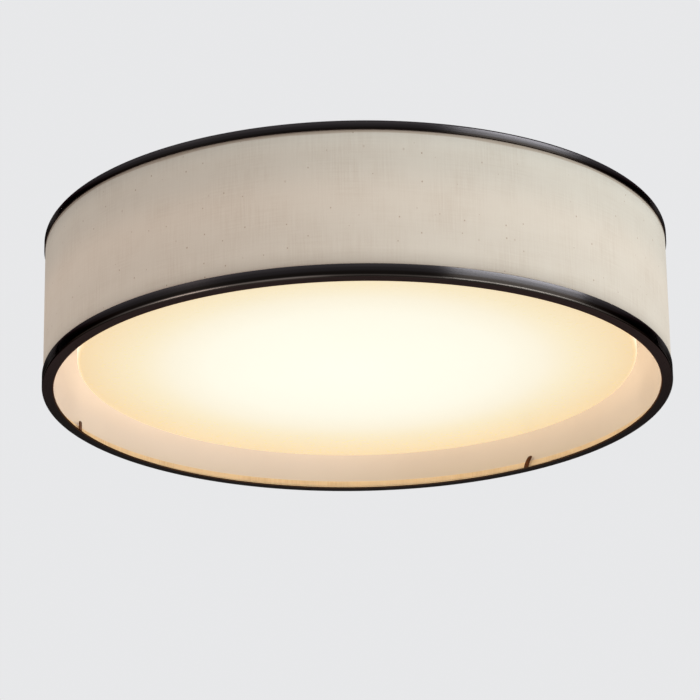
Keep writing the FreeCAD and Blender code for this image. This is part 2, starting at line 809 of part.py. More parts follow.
def makeLedChips():
    """Three rings of surface-mounted packages under the board."""
    low = number(panUnderside) - size("boardThickness") - size("chipHeight")
    corner = FreeCAD.Vector(-size("chipWidth") / 2, -size("chipLength") / 2, 0)
    chip = Part.makeBox(size("chipWidth"), size("chipLength"), size("chipHeight"), corner)
    chips = []
    for radius, count in chipRings:
        for index in range(count):
            angle = 360 * (index + 0.5) / count
            x, y = onCircle(radius, angle)
            chips.append(placed(chip, x, y, low, angle))
    group("led_chips", chips)


def makeBoardScrews():
    """Pan-head screws that hold the board up against the pan."""
    face = number(panUnderside) - size("boardThickness")
    head = size("boardScrewHead")
    shank = size("boardScrewRadius")
    low = face - size("boardScrewHeadHeight")
    top = face + size("boardScrewLength")
    screw = turned([
        (0, low), (size("screwHeadFlat"), low), (head, low + size("screwHeadDome")), (head, face),
        (shank, face), (shank, top - size("screwTip")), (size("screwTipRadius"), top), (0, top)])
    screw = screw.cut(crossRecess(low))
    screws = []
    for index in range(boardScrewCount):
        x, y = onCircle(size("boardScrewCircle"), 360 * index / boardScrewCount)
        screws.append(placed(screw, x, y))
    group("board_screws", screws)


def crossRecess(low):
    """Cross-shaped drive recess that stands on the given height."""
    reach = size("recessReach")
    half = size("recessWidth") / 2
    deep = size("recessDepth")
    along = Part.makeBox(2 * reach, 2 * half, deep, FreeCAD.Vector(-reach, -half, low))
    across = Part.makeBox(2 * half, 2 * reach, deep, FreeCAD.Vector(-half, -reach, low))
    return along.fuse(across)


def makeBoardPlug():
    """Two-pole plug on the board's outer edge, facing the grommet."""
    body = newBody("board_plug")
    top = f"({panUnderside} - dims.boardThickness)"
    outline = newSketch(body, "XY_Plane", "Outline", top)
    addBox(outline, "dims.plugRadius", "dims.plugRadius + dims.plugLength",
           "-dims.plugWidth / 2", "dims.plugWidth / 2")
    block = pad(body, outline, "dims.plugHeight", reversedWay=True)
    roundEdges(body, block, "dims.plugCorner",
               lambda edge, middle: abs(edge.Length - size("plugHeight")) < 1e-3)
    keep(body, "board_plug", math.degrees(math.atan2(size("driverY"), size("grommetX"))))


def makeDriver():
    """Power supply: an open case, its lid, and the board and parts sealed inside."""
    halfLength = "dims.driverLength / 2"
    low = "(dims.driverY - dims.driverWidth / 2)"
    high = "(dims.driverY + dims.driverWidth / 2)"
    body = newBody("driver_case")
    outline = newSketch(body, "XY_Plane", "Outline", panFloor)
    addBox(outline, f"-{halfLength}", halfLength, low, high)
    block = pad(body, outline, "dims.driverHeight - dims.driverLid")
    tall = number("dims.driverHeight - dims.driverLid")
    roundEdges(body, block, "dims.driverCorner",
               lambda edge, middle: abs(edge.Length - tall) < 1e-3)
    hollow = newSketch(body, "XY_Plane", "Hollow", f"{panFloor} + dims.driverWall")
    addBox(hollow, f"-{halfLength} + dims.driverWall", f"{halfLength} - dims.driverWall",
           f"{low} + dims.driverWall", f"{high} - dims.driverWall")
    pocket(body, hollow, "dims.driverHeight", reversedWay=True)
    for side in (-1, 1):
        ear = newSketch(body, "XY_Plane", "Ear", panFloor)
        addBox(ear, f"{side} * ({halfLength} - dims.driverWall / 2)",
               f"{side} * ({halfLength} + dims.earLength)",
               "dims.driverY - dims.earWidth / 2", "dims.driverY + dims.earWidth / 2")
        pad(body, ear, "dims.earHeight")
    holes = newSketch(body, "XY_Plane", "Holes", panFloor)
    for side in (-1, 1):
        addCircle(holes, f"{side} * {driverScrewX}", "dims.driverY", "dims.driverScrewRadius")
    pocket(body, holes)
    leads = newSketch(body, "YZ_Plane", "LeadHoles")
    addCircle(leads, "dims.driverY", "-dims.leadDrop", "dims.mainsLeadRadius")
    pocket(body, leads)
    keep(body, "driver_case")

    lid = doc.addObject("Part::Box", "DriverLid")
    lid.setExpression("Length", "dims.driverLength")
    lid.setExpression("Width", "dims.driverWidth")
    lid.setExpression("Height", "dims.driverLid")
    roundLid = doc.addObject("Part::Fillet", "driver_lid")
    roundLid.Base = lid
    doc.recompute()
    corners = [index for index, edge in enumerate(lid.Shape.Edges, start=1)
               if abs(edge.Length - size("driverLid")) < 1e-3]
    roundLid.Edges = [(index, size("driverCorner"), size("driverCorner")) for index in corners]
    keep(roundLid, "driver_lid")
    roundLid.setExpression("Placement.Base.x", f"-{halfLength}")
    roundLid.setExpression("Placement.Base.y", low)
    roundLid.setExpression("Placement.Base.z", f"{panFloor} + dims.driverHeight - dims.driverLid")


def makeDriverInside():
    """Circuit board with its transformer and capacitors."""
    floor = number(panFloor) + size("driverWall") + size("driverBoardGap")
    thick = size("driverBoard")
    length = size("driverBoardLength")
    width = size("driverBoardWidth")
    inset = size("postInset")
    y = size("driverY")
    board = Part.makeBox(length, width, thick, FreeCAD.Vector(-length / 2, y - width / 2, floor))
    posts = []
    for sideX in (-1, 1):
        for sideY in (-1, 1):
            place = FreeCAD.Vector(
                sideX * (length / 2 - inset), y + sideY * (width / 2 - inset),
                floor - size("driverBoardGap"))
            posts.append(Part.makeCylinder(size("postRadius"), size("driverBoardGap"), place))
    group("driver_board", [board])
    group("driver_board_posts", posts)
    top = floor + thick
    long = size("coreLength")
    deep = size("coreWidth")
    core = Part.makeBox(
        long, deep, size("coreHeight"), FreeCAD.Vector(-long / 2, y - deep / 2, top))
    group("driver_transformer", [core])
    cans = []
    for x, radius, tall in capacitorPlaces:
        place = FreeCAD.Vector(x, y + size("capacitorOffset"), top)
        cans.append(Part.makeCylinder(radius, tall, place))
    group("driver_capacitors", cans)


def makeDriverScrews():
    shank = size("driverScrewRadius")
    face = number(panFloor) + size("earHeight")
    end = number(panUnderside) - size("driverScrewBelow")
    head = size("boardScrewHead")
    top = face + size("boardScrewHeadHeight")
    screw = turned([
        (0, end), (size("screwTipRadius"), end), (shank, end + size("screwTip")), (shank, face),
        (head, face), (head, top - size("screwHeadDome")), (size("screwHeadFlat"), top), (0, top)])
    screw = screw.cut(crossRecess(top - size("recessDepth")))
    x = number(driverScrewX)
    group("driver_screws", [placed(screw, side * x, size("driverY")) for side in (-1, 1)])


def makeTerminalBlock():
    """Three-pole block with wire entries on its long side and a screw over each."""
    body = newBody("terminal_block")
    outline = newSketch(body, "XY_Plane", "Outline", panFloor)
    left = "(dims.blockX - dims.blockLength / 2)"
    right = "(dims.blockX + dims.blockLength / 2)"
    near = "(dims.blockY - dims.blockWidth / 2)"
    addBox(outline, left, right, near, "dims.blockY + dims.blockWidth / 2")
    block = pad(body, outline, "dims.blockHeight")
    roundEdges(body, block, "dims.blockCorner",
               lambda edge, middle: abs(edge.Length - size("blockHeight")) < 1e-3)
    entries = newSketch(body, "XZ_Plane", "Entries", f"-{near}")
    tops = newSketch(body, "XY_Plane", "ScrewWells", f"{panFloor} + dims.blockHeight")
    for pole in (-1, 0, 1):
        x = f"dims.blockX + {pole} * dims.blockPitch"
        addCircle(entries, x, f"{panFloor} + dims.blockHeight / 3", "dims.blockEntryRadius")
        addCircle(tops, x, "dims.blockY", "dims.blockScrewRadius + dims.blockWellClearance")
    pocket(body, entries, "dims.blockEntryDepth")
    pocket(body, tops, "dims.blockWellDepth")
    keep(body, "terminal_block")

    low = number(panFloor) + size("blockHeight") - size("blockWellDepth")
    radius = size("blockScrewRadius")
    tall = size("blockScrewHeight")
    width = size("blockSlotWidth")
    deep = size("blockSlotDepth")
    screw = Part.makeCylinder(radius, tall, FreeCAD.Vector(0, 0, low))
    slot = Part.makeBox(
        2 * radius, width, deep, FreeCAD.Vector(-radius, -width / 2, low + tall - deep))
    screws = []
    for pole in (-1, 0, 1):
        x = size("blockX") + pole * size("blockPitch")
        screws.append(placed(screw.cut(slot), x, size("blockY")))
    group("terminal_screws", screws)


def makeLead(label, route, radius):
    """Tube along straight runs joined by tangent arcs."""
    edges = []
    start = route[0]
    for before, corner, after in zip(route, route[1:], route[2:]):
        back = (before - corner).normalize()
        ahead = (after - corner).normalize()
        turn = math.pi - back.getAngle(ahead)
        run = min((corner - before).Length, (after - corner).Length)
        cut = size("leadBendShare") * run
        bend = cut / math.tan(turn / 2)
        middle = (back + ahead).normalize()
        sagitta = bend / math.cos(turn / 2) - bend
        enter = corner + back * cut
        leave = corner + ahead * cut
        if (enter - start).Length > 1e-6:
            edges.append(Part.LineSegment(start, enter).toShape())
        edges.append(Part.Arc(enter, corner + middle * sagitta, leave).toShape())
        print(label, "bend radius", round(bend, 1))
        start = leave
    edges.append(Part.LineSegment(start, route[-1]).toShape())
    path = Part.Wire(edges)
    ahead = (route[1] - route[0]).normalize()
    section = Part.Wire(Part.makeCircle(radius, route[0], ahead))
    tube = path.makePipeShell([section], True, False)
    expected = math.pi * radius * radius * path.Length
    print(label, "length", round(path.Length, 1), "volume ratio", round(tube.Volume / expected, 4))
    feature = doc.addObject("Part::Feature", label)
    feature.Shape = tube
    keep(feature, label)


def makeLeads():
    """Jacketed leads that the pan holds: block to driver, and driver to the plug."""
    drop = -size("leadDrop")
    driverEnd = size("driverLength") / 2
    y = size("driverY")
    loop = size("mainsLoopX")
    blockEnd = size("blockX") - size("blockLength") / 2
    blockHeight = number(panFloor) + size("blockHeight") / 2
    makeLead("mains_lead", [
        FreeCAD.Vector(blockEnd, size("blockY"), blockHeight),
        FreeCAD.Vector(-loop, size("blockY"), blockHeight),
        FreeCAD.Vector(-loop, y, drop),
        FreeCAD.Vector(-driverEnd, y, drop)], size("mainsLeadRadius"))
    plugHeight = number(panUnderside) - size("boardThickness") - size("plugHeight") / 2
    reach = math.hypot(size("grommetX"), y)
    end = (size("plugRadius") + size("plugLength")) / reach
    makeLead("dc_lead", [
        FreeCAD.Vector(driverEnd, y, drop),
        FreeCAD.Vector(size("grommetX"), y, drop),
        FreeCAD.Vector(size("grommetX"), y, plugHeight),
        FreeCAD.Vector(size("grommetX") * end, y * end, plugHeight)], size("dcLeadRadius"))


def makeGrommet():
    """Rubber ring that lines the lead's hole, with a lip on each side of the pan."""
    body = newBody("lead_grommet")
    sketch = newSketch(body, "XZ_Plane", "Section")
    top = f"{panFloor} + dims.grommetLipHeight"
    low = f"{panUnderside} - dims.grommetLipHeight"
    addPolygon(sketch, [
        ("dims.grommetBore", low), ("dims.grommetLip", low), ("dims.grommetLip", panUnderside),
        ("dims.grommetNeck", panUnderside), ("dims.grommetNeck", panFloor),
        ("dims.grommetLip", panFloor), ("dims.grommetLip", top), ("dims.grommetBore", top)])
    revolve(body, sketch)
    keep(body, "lead_grommet")
    body.Placement.Base = FreeCAD.Vector(size("grommetX"), size("driverY"), 0)


def build():
    makeTrimRings()
    makeShade()
    for index, (angle, lean) in enumerate(tabPlaces, start=1):
        makeRetainingTab(index, angle, lean)
    makeCeilingPan()
    makeShadeStuds()
    makeShadeWashers()
    for index, angle in enumerate(armAngles, start=1):
        makeDropArm(index, angle)
        makeThumbNut(index, angle)
    makeDiffuser()
    for index, angle in enumerate(catchAngles, start=1):
        makeDiffuserCatch(index, angle)
    makeCatchRivets()
    makeCrossbar()
    makeBarFasteners()
    makeLedBoard()
    makeLedChips()
    makeBoardScrews()
    makeBoardPlug()
    makeDriver()
    makeDriverInside()
    makeDriverScrews()
    makeTerminalBlock()
    makeLeads()
    makeGrommet()
    doc.recompute()


def checkDocument():
    for item in doc.Objects:
        if "Invalid" in item.State or "Error" in item.State:
            raise RuntimeError(f"{item.Name} did not compute: {item.State}")
    for part in subParts:
        shape = part.Shape
        if shape.isNull() or not shape.isValid() or not shape.Solids:
            raise RuntimeError(f"{part.Label} has no valid solid")


def writeParts():
    os.makedirs("parts", exist_ok=True)
    for part in subParts:
        part.Shape.exportStep(os.path.join("parts", f"{part.Label}.step"))
        print(part.Label, len(part.Shape.Solids), "solids", round(part.Shape.Volume / 1000, 2), "cm3")


build()
checkDocument()
writeParts()
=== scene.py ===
import math

import bmesh
import bpy
from mathutils import Matrix, Vector


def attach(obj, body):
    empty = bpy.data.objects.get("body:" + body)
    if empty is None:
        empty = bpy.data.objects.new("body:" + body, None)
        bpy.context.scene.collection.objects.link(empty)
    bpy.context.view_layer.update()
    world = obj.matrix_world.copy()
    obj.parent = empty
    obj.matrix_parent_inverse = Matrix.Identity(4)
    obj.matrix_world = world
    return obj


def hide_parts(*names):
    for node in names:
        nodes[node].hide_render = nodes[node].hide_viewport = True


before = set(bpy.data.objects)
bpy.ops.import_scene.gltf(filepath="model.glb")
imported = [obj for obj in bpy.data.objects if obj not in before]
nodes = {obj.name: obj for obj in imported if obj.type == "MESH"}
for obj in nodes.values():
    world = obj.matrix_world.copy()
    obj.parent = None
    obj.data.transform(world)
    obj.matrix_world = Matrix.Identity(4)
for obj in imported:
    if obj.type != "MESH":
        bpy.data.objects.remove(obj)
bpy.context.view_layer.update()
print("frame loaded:", len(nodes), "nodes")

# lens, place and turn of the camera, worked out from the outlines of the two trim rings
cameraSet = {
    "place": (0.0, -2.5660, -1.0520),
    "tilt": 0.35882, "pan": -0.00216, "roll": -0.01491,
    "lens": 173.8, "sensor": 36.0, "clip": (0.1, 60),
}


def addCamera(s):
    pan, tilt, roll = s["pan"], s["tilt"], s["roll"]
    right = Vector((math.cos(pan), -math.sin(pan), 0))
    ahead = Vector((math.sin(pan) * math.cos(tilt), math.cos(pan) * math.cos(tilt), math.sin(tilt)))
    up = right.cross(ahead)
    across = right * math.cos(roll) + up * math.sin(roll)
    above = up * math.cos(roll) - right * math.sin(roll)
    data = bpy.data.cameras.new("roomCamera")
    data.lens, data.sensor_width = s["lens"], s["sensor"]
    data.clip_start, data.clip_end = s["clip"]
    camera = bpy.data.objects.new("roomCamera", data)
    bpy.context.scene.collection.objects.link(camera)
    turn = Matrix((across, above, -ahead)).transposed()
    camera.matrix_world = Matrix.Translation(s["place"]) @ turn.to_4x4()
    bpy.context.scene.camera = camera


addCamera(cameraSet)


# nodes of a material, wired by short calls

class Finish:
    def __init__(self, name):
        self.material = bpy.data.materials.new(name)
        self.material.use_nodes = True
        self.tree = self.material.node_tree
        self.tree.nodes.clear()
        self.output = self.tree.nodes.new("ShaderNodeOutputMaterial")
        self.shader = self.tree.nodes.new("ShaderNodeBsdfPrincipled")
        self.tree.links.new(self.shader.outputs["BSDF"], self.output.inputs["Surface"])
        self.lastBump = None

    def node(self, kind, inputs=None, **settings):
        made = self.tree.nodes.new("ShaderNode" + kind)
        for key, value in settings.items():
            setattr(made, key, value)
        for key, value in (inputs or {}).items():
            self.feed(made.inputs[key], value)
        return made

    def feed(self, socket, value):
        if isinstance(value, bpy.types.NodeSocket):
            self.tree.links.new(value, socket)
        else:
            socket.default_value = value

    def set(self, **sockets):
        for key, value in sockets.items():
            self.feed(self.shader.inputs[key.replace("_", " ")], value)

    def place(self, scale=(1, 1, 1), move=(0, 0, 0), uv=False):
        source = self.node("TexCoord").outputs["UV" if uv else "Object"]
        return self.node("Mapping", {"Vector": source, "Scale": scale, "Location": move}).outputs["Vector"]

    def noise(self, vector, scale, detail=3.0, roughness=0.5):
        made = self.node("TexNoise", {"Vector": vector, "Scale": scale, "Detail": detail,
                                      "Roughness": roughness})
        return made.outputs["Fac"]

    def spots(self, vector, scale, flat=False):
        # distance to the nearest of many scattered points, and one random level for each point
        made = self.node("TexVoronoi", {"Vector": vector, "Scale": scale})
        made.voronoi_dimensions = "2D" if flat else "3D"
        level = self.node("SeparateColor", {"Color": made.outputs["Color"]}).outputs[0]
        return made.outputs["Distance"], level

    def math(self, operation, first, second=0.5):
        made = self.node("Math", operation=operation)
        self.feed(made.inputs[0], first)
        self.feed(made.inputs[1], second)
        return made.outputs["Value"]

    def times(self, first, second):
        return self.math("MULTIPLY", first, second)

    def plus(self, first, second):
        return self.math("ADD", first, second)

    def span(self, value, low, high, start=0.0, end=1.0, smooth=False):
        made = self.node("MapRange", {"Value": value, "From Min": low, "From Max": high,
                                      "To Min": start, "To Max": end})
        made.interpolation_type = "SMOOTHSTEP" if smooth else "LINEAR"
        return made.outputs["Result"]

    def spread(self, noise, start, end):
        # most of a noise lies between 0.3 and 0.7
        return self.span(noise, 0.3, 0.7, start, end)

    def ramp(self, value, stops, blend="LINEAR"):
        made = self.node("ValToRGB", {"Fac": value})
        made.color_ramp.interpolation = blend
        elements = made.color_ramp.elements
        while len(elements) < len(stops):
            elements.new(0.5)
        for element, (at, colour) in zip(elements, stops):
            element.position, element.color = at, (*colour, 1)
        return made.outputs["Color"]

    def mottled(self, noise, dark, light):
        return self.ramp(noise, [(0.3, dark), (0.7, light)])

    def mix(self, factor, first, second):
        made = self.node("Mix", data_type="RGBA")
        self.feed(made.inputs[0], factor)
        for socket, value in ((made.inputs[6], first), (made.inputs[7], second)):
            self.feed(socket, value if isinstance(value, bpy.types.NodeSocket) else (*value, 1))
        return made.outputs[2]

    def bump(self, height, distance, strength):
        made = self.node("Bump", {"Height": height, "Distance": distance, "Strength": strength})
        if self.lastBump is not None:
            self.feed(made.inputs["Normal"], self.lastBump)
        self.lastBump = made.outputs["Normal"]
        self.feed(self.shader.inputs["Normal"], self.lastBump)

    def axis(self, letter):
        return self.node("SeparateXYZ", {"Vector": self.place()}).outputs[letter]

    def polar(self, vector):
        x, y, z = self.node("SeparateXYZ", {"Vector": vector}).outputs
        squares = self.plus(self.times(x, x), self.times(y, y))
        return {"turn": self.math("ARCTAN2", y, x), "reach": self.math("SQRT", squares), "height": z}


def shade(red, green, blue):
    # display colour, 0 to 255, as the linear one that the nodes take
    made = []
    for value in (red, green, blue):
        value = value / 255
        made.append(value / 12.92 if value <= 0.04045 else ((value + 0.055) / 1.055) ** 2.4)
    return tuple(made)


def levels(*stops):
    # ramp stops that carry one number each
    return [(at, (level,) * 3) for at, level in stops]


# making and finishing of pieces

def cornersAt(mesh, line, turn=0.0):
    # one corner for each (radius, height) pair, at this turn about the light's axis
    return [mesh.verts.new((radius * math.cos(turn), radius * math.sin(turn), height))
            for radius, height in line]


def drawnLine(mesh, line, turn=0.0, closed=False):
    corners = cornersAt(mesh, line, turn)
    pairs = list(zip(corners, corners[1:]))
    if closed:
        pairs.append((corners[-1], corners[0]))
    return corners + [mesh.edges.new(pair) for pair in pairs]


def turnedRound(mesh, drawn, steps, angle=math.tau, drop=0.0, merge=False):
    # sweeps what is drawn about the light's axis, lowering it at each step
    bmesh.ops.spin(mesh, geom=drawn, cent=(0, 0, 0), axis=(0, 0, 1), dvec=(0, 0, -drop),
                   angle=angle, steps=steps, use_merge=merge, use_duplicate=False)


def turnedBy(mesh, verts, degrees):
    bmesh.ops.rotate(mesh, verts=verts, cent=(0, 0, 0),
                     matrix=Matrix.Rotation(math.radians(degrees), 3, "Z"))


def spunRing(name, outline, steps=360, bevel=None):
    mesh = bmesh.new()
    turnedRound(mesh, drawnLine(mesh, outline, closed=True), steps, merge=True)
    bmesh.ops.remove_doubles(mesh, verts=mesh.verts, dist=1e-6)
    bmesh.ops.recalc_face_normals(mesh, faces=mesh.faces)
    return finishedMesh(mesh, name, bevel)


def finishedMesh(mesh, name, bevel=None, smooth=35):
    data = bpy.data.meshes.new(name)
    mesh.to_mesh(data)
    mesh.free()
    piece = bpy.data.objects.new(name, data)
    bpy.context.scene.collection.objects.link(piece)
    for face in data.polygons:
        face.use_smooth = True
    if bevel:
        rounding = piece.modifiers.new("softEdges", "BEVEL")
        rounding.width, rounding.segments, rounding.limit_method = bevel, 2, "ANGLE"
        rounding.angle_limit = math.radians(smooth)
        rounding.harden_normals = True
    data.set_sharp_from_angle(angle=math.radians(smooth))
    return piece


def thicken(piece, thickness):
    # the sheet's wall grows inwards from the face that was drawn
    wall = piece.modifiers.new("clothThickness", "SOLIDIFY")
    wall.thickness, wall.offset, wall.use_rim = thickness, -1, True


def arcCorner(centre, radius, first, last, steps):
    corners = []
    for step in range(steps + 1):
        turn = math.radians(first + (last - first) * step / steps)
        corners.append((centre[0] + radius * math.cos(turn), centre[1] + radius * math.sin(turn)))
    return corners


def fit(piece, body, material, replaced):
    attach(piece, body)
    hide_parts(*replaced)
    piece.data.materials.clear()
    piece.data.materials.append(material)


# trim rings: oil-rubbed bronze on rolled L-section steel

ringSet = {
    "outside": 0.25398, "leg": 0.253, "corner": 0.0012, "edge": 0.00022, "thickness": 0.001,
    "flat": 0.0003, "cornerSteps": 6,
    "bottom": {"face": -0.127, "legEnd": -0.1165, "lip": 0.2445,
               "shadeFrom": -0.1258, "shadeTo": -0.1168, "highlightAt": -0.1259},
    "top": {"face": -0.0006, "legEnd": -0.008, "lip": 0.2494,
            "shadeFrom": -0.0092, "shadeTo": -0.002, "highlightAt": None},
    # brushed lines: how fast they change along the ring and across it
    "brushAlong": 5.0, "brushAcross": 5200, "brushDepth": 0.00002, "brushed": shade(26, 23, 22),
    # leg, from the rim's corner up: painted shade, darker at the corner and lighter up the leg
    "legShadeTones": [(0.0, shade(17, 14, 12)), (0.3, shade(22, 18, 16)), (0.56, shade(40, 37, 38)),
                 (1.0, shade(64, 60, 62))],
    "legTint": (0.36, 0.35, 0.35, 1), "legRoughness": (0.16, 0.24), "edgeOnDark": (0.70, 0.85),
    # how strong the corner's painted highlight is, as one turn round the light from -X
    "highlightAround": levels((0.0, 0.1), (0.11, 0.12), (0.17, 0.9), (0.22, 0.8), (0.25, 0.25),
                        (0.30, 0.32), (0.36, 0.36), (0.41, 0.08), (0.7, 0.35), (1.0, 0.1)),
    "highlightWidth": 0.0013, "cornerHighlight": shade(128, 118, 112),
    # flange, from its near side to its far side: painted light, lighter and redder on the near side; and a
    # painted coppery highlight along its lip
    "sides": (-0.14, 0.10), "near": shade(78, 63, 62), "far": shade(56, 50, 49),
    "clouded": shade(50, 41, 39), "flangeTint": (0.43, 0.43, 0.43, 1), "flangeRoughness": (0.26, 0.36),
    "lipHighlightWidth": 0.0011, "lipHighlight": shade(168, 104, 60),
}


def brushLines(f, s, place):
    # fine lines that run round the ring
    along = f.node("CombineXYZ", {0: f.times(place["turn"], s["brushAlong"]),
                                  1: f.times(place["reach"], s["brushAcross"]),
                                  2: f.times(place["height"], s["brushAcross"])})
    return f.noise(along.outputs[0], 1)


def paintedCornerHighlight(f, s, part, spot, place):
    # painted highlight: a pale line along the rim's corner, broken up, and strongest at the turns where
    # the lamps' reflections fall
    offset = f.math("ABSOLUTE", f.math("SUBTRACT", place["height"], part["highlightAt"]))
    near = f.span(offset, 0.0, s["highlightWidth"], 1, 0, True)
    around = f.ramp(f.span(place["turn"], -math.pi, math.pi), s["highlightAround"], "EASE")
    broken = f.span(f.noise(spot, 16), 0.3, 0.55, 0.5, 1)
    return f.times(f.times(near, around), broken)


def legFinish(name, s, part):
    # outer leg: brushed, with painted shade that darkens it towards the rim's corner
    f = Finish(name)
    spot = f.place()
    place = f.polar(spot)
    lines = brushLines(f, s, place)
    up = f.span(place["height"], part["shadeFrom"], part["shadeTo"])
    base = f.mix(f.spread(lines, 0.0, 0.5), f.ramp(up, s["legShadeTones"], "EASE"), s["brushed"])
    # painted highlight along the rim's corner
    if part["highlightAt"]:
        base = f.mix(paintedCornerHighlight(f, s, part, spot, place), base, s["cornerHighlight"])
    mottle = f.plus(f.times(f.noise(spot, 11, 4), 0.4), f.times(lines, 0.6))
    # painted shade: the gloss is turned off where the leg is seen edge on, so that its ends stay dark
    facing = f.node("LayerWeight", {"Blend": 0.5}).outputs["Facing"]
    f.set(Base_Color=base, Metallic=f.span(facing, *s["edgeOnDark"], 1, 0, True), Specular_IOR_Level=0.0,
          Specular_Tint=s["legTint"], Roughness=f.spread(mottle, *s["legRoughness"]))
    f.bump(lines, s["brushDepth"], 0.15)
    return f.material


def flangeFinish(s):
    # turned-in flange: the same bronze, with painted light that makes it redder on the near side, and a
    # painted coppery highlight along its lip
    f = Finish("flangeBronze")
    spot = f.place()
    place = f.polar(spot)
    lines = brushLines(f, s, place)
    cloud = f.noise(spot, 14, 4)
    # painted light: the near side lighter and redder than the far side
    base = f.mix(f.span(f.axis("Y"), *s["sides"], 0, 1, True), s["near"], s["far"])
    base = f.mix(f.spread(cloud, 0, 0.25), base, s["clouded"])
    # painted highlight: a coppery line along the lip, where the diffuser's light catches it
    start = s["bottom"]["lip"]
    lip = f.span(place["reach"], start, start + s["lipHighlightWidth"], 1, 0, True)
    base = f.mix(f.times(lip, f.span(cloud, 0.35, 0.6, 0.35, 0.9)), base, s["lipHighlight"])
    f.set(Base_Color=base, Metallic=1.0, Specular_Tint=s["flangeTint"],
          Roughness=f.spread(lines, *s["flangeRoughness"]))
    f.bump(lines, s["brushDepth"], 0.4)
    return f.material


def ringOutline(s, part, way):
    face, end, lip = part["face"], part["legEnd"], part["lip"]
    inner = face + way * s["thickness"]
    centre = (s["outside"] - s["corner"], face + way * s["corner"])
    turn = (-90, 0) if way > 0 else (90, 0)
    # an extra corner on each side of the arc keeps the flange and the leg flat
    return [(lip, face), (centre[0] - s["flat"], face),
            *arcCorner(centre, s["corner"], *turn, s["cornerSteps"]),
            (s["outside"], centre[1] + way * s["flat"]), (s["outside"], end),
            (s["leg"], end), (s["leg"], inner), (lip, inner)]


def makeTrimRings(s):
    flange = flangeFinish(s)
    for part, way in (("bottom", 1), ("top", -1)):
        ring = spunRing(part + "TrimRing", ringOutline(s, s[part], way), bevel=s["edge"])
        fit(ring, "fixture", legFinish(part + "LegBronze", s, s[part]), [part + "_trim_ring"])
        ring.data.materials.append(flange)
        for face in ring.data.polygons:
            face.material_index = 1 if abs(face.normal.z) > 0.9 else 0
    print("trim rings made")


makeTrimRings(ringSet)


# retaining tabs: strips that stand up from the flange, each leaning along the rim towards its top

tabSet = {
    "inside": 0.2482, "sheet": 0.001, "width": 0.0044, "foot": -0.126, "height": 0.011,
    "edge": 0.0003, "columns": 4, "rows": 12,
    # rounded top: its height, how much it draws the sides in, and the least share it leaves
    "topRound": 0.0013, "drawnIn": 0.8, "leftOver": 0.2,
    # angle about the axis, and how far the top leans
    "places": ((158.4, 0.0004), (54.5, -0.0051), (287.0, 0.0004)), "leanCurve": 1.7,
    "dark": shade(58, 32, 15), "light": shade(112, 63, 28),
}


def tabFinish(s):
    f = Finish("tabBronze")
    spot = f.place()
    cloud = f.noise(spot, 260, 4)
    f.set(Base_Color=f.ramp(cloud, [(0.35, s["dark"]), (0.7, s["light"])]),
          Metallic=0.7, Roughness=f.spread(cloud, 0.28, 0.45))
    f.bump(f.noise(spot, 1400, 2), 0.00003, 0.6)
    return f.material


def makeTab(s, index, angle, lean, finish):
    mesh = bmesh.new()
    bmesh.ops.create_grid(mesh, x_segments=s["columns"], y_segments=s["rows"], size=0.5)
    for vert in mesh.verts:
        across, up = vert.co.x, vert.co.y + 0.5
        fromTop = max(up * s["height"] - (s["height"] - s["topRound"]), 0) / s["topRound"]
        width = s["width"] * math.sqrt(max(1 - s["drawnIn"] * fromTop ** 2, s["leftOver"]))
        vert.co = (s["inside"], across * width + lean * up ** s["leanCurve"],
                   s["foot"] + up * s["height"])
    bmesh.ops.recalc_face_normals(mesh, faces=mesh.faces)
    bmesh.ops.solidify(mesh, geom=mesh.faces[:], thickness=s["sheet"])
    middle = sum(vert.co.x for vert in mesh.verts) / len(mesh.verts)
    bmesh.ops.translate(mesh, verts=mesh.verts, vec=(s["inside"] + s["sheet"] / 2 - middle, 0, 0))
    turnedBy(mesh, mesh.verts, angle)
    bmesh.ops.recalc_face_normals(mesh, faces=mesh.faces)
    tab = finishedMesh(mesh, f"retainingTab{index}", s["edge"])
    fit(tab, "fixture", finish, [f"retaining_tab_{index}"])


def makeTabs(s):
    finish = tabFinish(s)
    for index, (angle, lean) in enumerate(s["places"], start=1):
        makeTab(s, index, angle, lean, finish)
    print("retaining tabs made")


makeTabs(tabSet)


# linen cover: one strip wrapped round the liner, its end folded over its start

weaveSet = {
    "wander": 1.4, "wanderScale": 180,
    # long thick and thin places of single threads: how fast they change along the cloth and up it
    "upright": (700, 34, 1), "level": (34, 700, 1), "slub": (1500, 70, 1),
    "uprightShare": 0.62, "levelShare": 0.38, "depth": 0.00006,
    # seed flecks: soft brown specks, larger and fainter ones among small sharp ones
    "flecks": (
        {"scale": 60, "above": 0.60, "radius": (0.026, 0.048), "depth": 0.6},
        {"scale": 34, "above": 0.66, "radius": (0.02, 0.042), "depth": 0.25},
    ),
    "fleckHeight": 0.8, "fleckEdge": 0.03, "fleckColour": shade(150, 112, 82),
}

linenSet = {
    "inside": 0.252, "thickness": 0.0005, "low": -0.1225, "high": -0.0051,
    "seamAngle": 172.0, "lap": 2.8, "lapRise": 0.00036,
    "steps": 512, "lapSteps": 10, "riseSteps": 3, "rows": 6,
    "threadPitch": 0.00062, "light": shade(230, 221, 209), "dark": shade(220, 209, 196),
    # painted shadow under the top ring, on the cloth below the top tape
    "shadowTop": -0.0092, "shadowDepth": (0.0008, 0.0021), "shadowColour": shade(170, 145, 124),
    "glowUp": levels((0.0, 0.55), (0.2, 0.8), (0.5, 1.0), (0.8, 0.4), (1.0, 0.05)),
    "glow": 0.12, "glowColour": shade(255, 170, 96),
}


